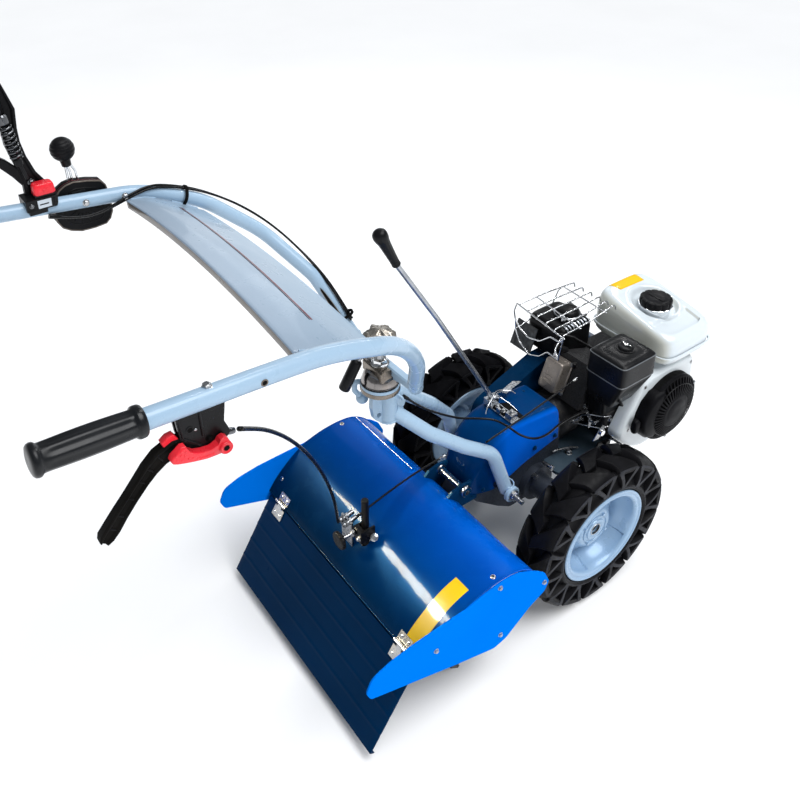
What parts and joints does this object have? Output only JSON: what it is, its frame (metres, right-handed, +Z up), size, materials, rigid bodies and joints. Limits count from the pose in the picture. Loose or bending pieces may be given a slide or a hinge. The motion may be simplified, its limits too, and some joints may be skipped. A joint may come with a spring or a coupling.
{
  "type": "rotary tiller",
  "caption": "Walk-behind rear-tine rotary tiller: engine in front, two lugged wheels, hooded tine rotor behind, swivelling handlebar with hand controls.",
  "frame": {"origin": "on the floor under the middle of the machine's length and width", "axes": "+X to the right as the operator walks, +Y forward to the engine, +Z up"},
  "size_m": [0.689, 1.5354, 1.2689],
  "materials": {
    "paint_blue_grey": "glossy",
    "paint_blue": "glossy",
    "paint_silver": "satin",
    "paint_white": "glossy",
    "paint_black": "satin",
    "engine_cast": "matte",
    "valve_cover_metal": "satin",
    "tyre_rubber": "matte",
    "grip_rubber": "matte",
    "black_plastic": "satin",
    "red_plastic": "glossy",
    "zinc_steel": "satin",
    "chrome_wire": "glossy",
    "blade_steel": "matte",
    "cast_case": "matte",
    "cable_jacket": "satin"
  },
  "bodies": {
    "chassis": {"gearbox_case": "cast_case", "gearbox_cover": "paint_blue", "gear_lever": "zinc_steel", "gear_lever_grip": "black_plastic", "belt_guard": "paint_blue", "engine_bed": "paint_black", "engine_block": "engine_cast", "valve_cover": "valve_cover_metal", "fan_shroud": "paint_white", "recoil_starter": "black_plastic", "fuel_tank": "paint_white", "tank_cap": "black_plastic", "air_cleaner": "black_plastic", "carburettor": "engine_cast", "muffler": "paint_black", "muffler_guard": "chrome_wire", "tiller_drive_case": "cast_case", "hood_shell": "paint_blue", "hood_side_left": "paint_blue", "hood_side_right": "paint_blue", "hood_bracket": "zinc_steel", "depth_clamp": "paint_black", "cable_anchor": "zinc_steel", "hood_hinges": "zinc_steel", "mast_tube_left": "paint_blue_grey", "mast_tube_right": "paint_blue_grey", "mast_head": "paint_blue_grey", "mast_studs": "zinc_steel", "control_cables": "cable_jacket"},
    "wheel_left": {"tyre_left": "tyre_rubber", "rim_left": "paint_silver"},
    "wheel_right": {"tyre_right": "tyre_rubber", "rim_right": "paint_silver"},
    "tine_rotor": {"rotor_shaft": "blade_steel", "tines_left": "blade_steel", "tines_right": "blade_steel"},
    "flap": {"rear_flap": "paint_blue", "flap_hinges": "zinc_steel"},
    "spur": {"depth_spur": "zinc_steel"},
    "handlebar": {"swivel_head": "zinc_steel", "clamp_knob": "black_plastic", "locking_handle": "black_plastic", "handlebar_left": "paint_blue_grey", "handlebar_right": "paint_blue_grey", "handlebar_panel": "paint_blue_grey", "grips": "grip_rubber", "clutch_lever_right": "black_plastic", "clutch_lever_left": "black_plastic", "lever_brackets": "black_plastic", "lever_latches": "red_plastic", "selector_housing": "black_plastic", "selector_lever": "black_plastic", "cable_right": "cable_jacket", "cables_left": "cable_jacket"}
  },
  "joints": [
    {"name": "wheel_left_spin", "type": "hinge", "parent": "chassis", "child": "wheel_left", "pos_m": [-0.222, 0.329, 0.2], "axis": [1, 0, 0], "continuous": true},
    {"name": "wheel_right_spin", "type": "hinge", "parent": "chassis", "child": "wheel_right", "pos_m": [0.222, 0.329, 0.2], "axis": [1, 0, 0], "continuous": true},
    {"name": "rotor_spin", "type": "hinge", "parent": "chassis", "child": "tine_rotor", "pos_m": [0, -0.026, 0.16], "axis": [1, 0, 0], "continuous": true},
    {"name": "flap_swing", "type": "hinge", "parent": "chassis", "child": "flap", "pos_m": [0, -0.2106, 0.2162], "axis": [-1, 0, 0], "range_deg": [0, 60]},
    {"name": "spur_slide", "type": "slide", "parent": "chassis", "child": "spur", "axis": [0, 0, 1], "range_m": [0, 0.08]},
    {"name": "handlebar_swivel", "type": "hinge", "parent": "chassis", "child": "handlebar", "pos_m": [0, -0.088, 0.664], "axis": [0, 0, 1], "range_deg": [-30, 30]}
  ]
}
